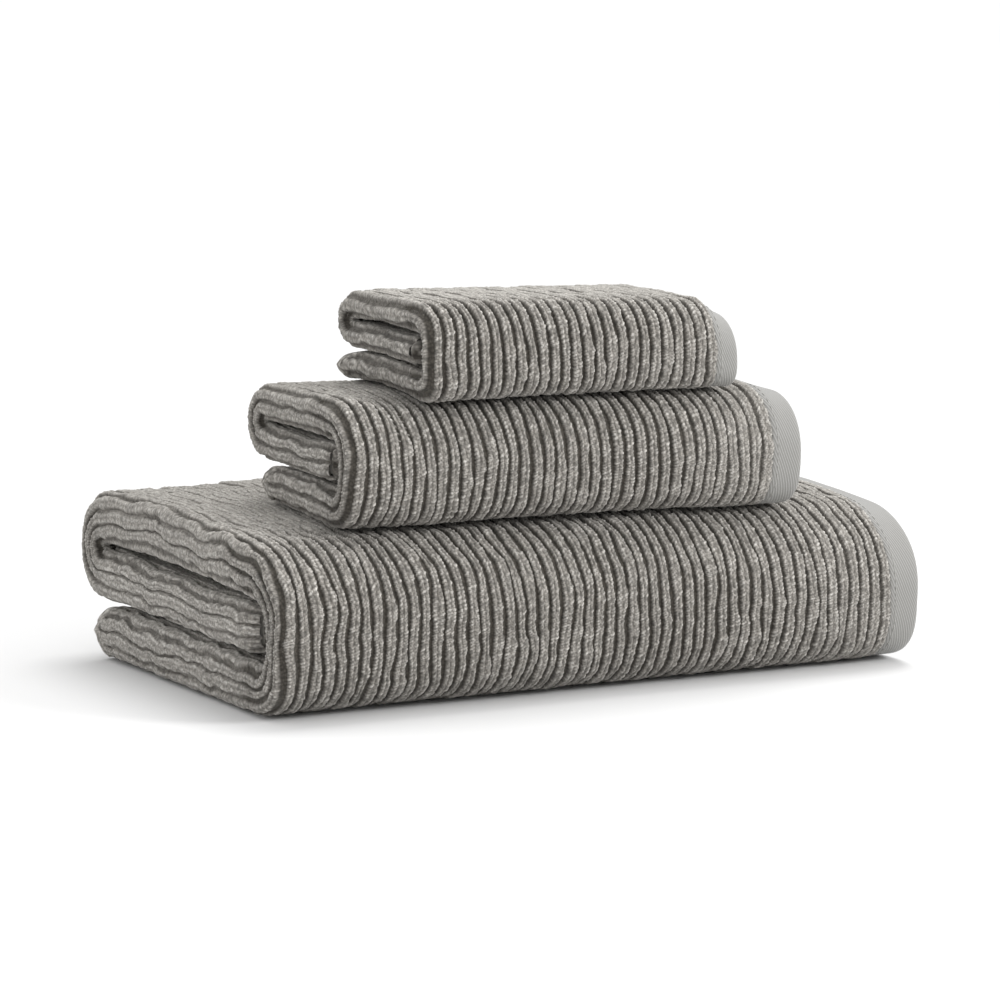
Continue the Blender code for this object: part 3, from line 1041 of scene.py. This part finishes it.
def matt_white_paper(tree, cotton):
    """Matt white paper backdrop, with a grain too faint to see but for its softness."""
    grain = add_node(tree, "ShaderNodeTexNoise", {"Scale": 40.0})
    mix = add_node(tree, "ShaderNodeMix",
                   {"Factor": grain.outputs["Fac"], 6: (0.71, 0.71, 0.71, 1.0),
                    7: (0.74, 0.74, 0.74, 1.0)}, data_type="RGBA")
    shader = add_node(tree, "ShaderNodeBsdfPrincipled",
                      {"Base Color": mix.outputs[2], "Roughness": 0.9,
                       "Specular IOR Level": 0.0})
    add_node(tree, "ShaderNodeOutputMaterial", {"Surface": shader.outputs[0]})


# ------------------------------------------------------------------ operators


def all_folds(scene):
    towels = [getattr(scene, name) for name in TOWELS]
    if not all(towel.length > 0.0 and towel.name for towel in towels):
        raise ValueError("The towels have no sizes yet; run reset_towels first")
    return [FoldedTowel(towel) for towel in towels]


def on_each_end(scene, build):
    """Build one piece at the outer and one at the inner end or side of each towel."""
    for fold in all_folds(scene):
        for which in ("outer", "inner"):
            build(fold, scene.terry, which)
    return {"FINISHED"}


class TOWELS_OT_terry(Operator):
    """Build each towel's woven ground and the ribbed pile on both of its faces"""

    bl_idname = "towels.terry"
    bl_label = "Terry cloth"

    def execute(self, context):
        terry = context.scene.terry
        lies_on = "floor"
        for fold in all_folds(context.scene):
            ground = build_ground_cloth(fold, terry)
            outer = build_outer_pile(fold, terry)
            inner = build_inner_pile(fold, terry)
            ground["lies_on"] = lies_on
            lies_on = outer.name
        return {"FINISHED"}


class TOWELS_OT_end_hems(Operator):
    """Build the flat woven hem bands across both ends of each towel"""

    bl_idname = "towels.end_hems"
    bl_label = "End hems"

    def execute(self, context):
        return on_each_end(context.scene, build_end_hem)


class TOWELS_OT_side_hems(Operator):
    """Build the narrow turned hems along both long sides of each towel"""

    bl_idname = "towels.side_hems"
    bl_label = "Side hems"

    def execute(self, context):
        return on_each_end(context.scene, build_side_hem)


class TOWELS_OT_stitching(Operator):
    """Build the stitches that hold the end hems down"""

    bl_idname = "towels.stitching"
    bl_label = "Stitching"

    def execute(self, context):
        return on_each_end(context.scene, build_stitching)


class TOWELS_OT_declare(Operator):
    """Take the lies_on property off each ground cloth again"""

    bl_idname = "towels.declare"
    bl_label = "Declare the cloth"

    def execute(self, context):
        for fold in all_folds(context.scene):
            ground = bpy.data.objects.get(fold.name + "_ground_cloth")
            if ground is None:
                raise RuntimeError("Build the terry cloth before it is declared")
            del ground["lies_on"]
        return {"FINISHED"}


class TOWELS_OT_stage(Operator):
    """Add the white floor, the soft lights and the camera"""

    bl_idname = "towels.stage"
    bl_label = "Stage"

    def execute(self, context):
        scene = context.scene
        reach = 60.0
        mesh = bpy.data.meshes.new("floor")
        corners = [(x * reach, y * reach, 0.0) for x, y in ((-1, -1), (1, -1), (1, 1), (-1, 1))]
        mesh.from_pydata(corners, [], [(0, 1, 2, 3)])
        mesh.materials.append(material_of(matt_white_paper))
        floor = bpy.data.objects.new("floor", mesh)
        scene.collection.objects.link(floor)
        world = bpy.data.worlds.new("soft white room")
        world.use_nodes = True
        background = world.node_tree.nodes["Background"]
        background.inputs["Color"].default_value = (1.0, 1.0, 1.0, 1.0)
        background.inputs["Strength"].default_value = 0.95
        scene.world = world
        add_light("key_light", "SUN", (0.56, 0.56, 1.7), 1.6, angle=math.radians(36))
        add_light("side_light", "AREA", (1.4, -1.6, 1.1), 31.0, size=0.8, shape="DISK")
        add_light("fill_light", "AREA", (-1.9, -0.5, 1.0), 2.5, size=1.0, shape="DISK")
        camera = bpy.data.cameras.new("camera")
        camera.lens = 147.4
        camera.sensor_width = 36.0
        holder = bpy.data.objects.new("camera", camera)
        holder.location = (-0.978, -1.793, 0.3635)
        holder.rotation_euler = (math.radians(90.0 - 7.885), 0.0, math.radians(-28.67))
        scene.collection.objects.link(holder)
        scene.camera = holder
        scene.view_settings.view_transform = "Standard"
        return {"FINISHED"}


def add_light(name, kind, place, power, **settings):
    data = bpy.data.lights.new(name, kind)
    data.energy = power
    for key, value in settings.items():
        setattr(data, key, value)
    light = bpy.data.objects.new(name, data)
    light.location = place
    towards = Vector((0.0, 0.0, 0.08)) - Vector(place)
    light.rotation_euler = towards.to_track_quat("-Z", "Y").to_euler()
    bpy.context.scene.collection.objects.link(light)


class TOWELS_PT_panel(Panel):
    """The steps and sizes of the folded towels"""

    bl_idname = "TOWELS_PT_panel"
    bl_label = "Folded towels"
    bl_space_type = "VIEW_3D"
    bl_region_type = "UI"
    bl_category = "Towels"

    def draw(self, context):
        layout = self.layout
        for operator in OPERATORS:
            layout.operator(operator.bl_idname)
        for part, settings in SETTINGS.items():
            box = layout.box()
            box.label(text=part.replace("_", " ").capitalize())
            for key in settings.__annotations__:
                box.prop(getattr(context.scene, part), key)


OPERATORS = (TOWELS_OT_terry, TOWELS_OT_end_hems, TOWELS_OT_side_hems, TOWELS_OT_stitching,
             TOWELS_OT_declare, TOWELS_OT_stage)
CLASSES = (CottonSettings, TerrySettings, TowelSettings) + OPERATORS + (TOWELS_PT_panel,)


TOWELS = ("bath_towel", "hand_towel", "wash_cloth")
SETTINGS = {"cotton": CottonSettings, "terry": TerrySettings,
            **{towel: TowelSettings for towel in TOWELS}}


def register():
    for cls in CLASSES:
        bpy.utils.register_class(cls)
    for key, settings in SETTINGS.items():
        setattr(bpy.types.Scene, key, PointerProperty(type=settings))


def unregister():
    for key in SETTINGS:
        delattr(bpy.types.Scene, key)
    for cls in reversed(CLASSES):
        bpy.utils.unregister_class(cls)


def main():
    register()
    reset_towels(bpy.context.scene)
    bpy.ops.towels.terry()
    bpy.ops.towels.end_hems()
    bpy.ops.towels.side_hems()
    bpy.ops.towels.stitching()
    bpy.ops.towels.declare()
    bpy.ops.towels.stage()


if __name__ == "__main__":
    main()
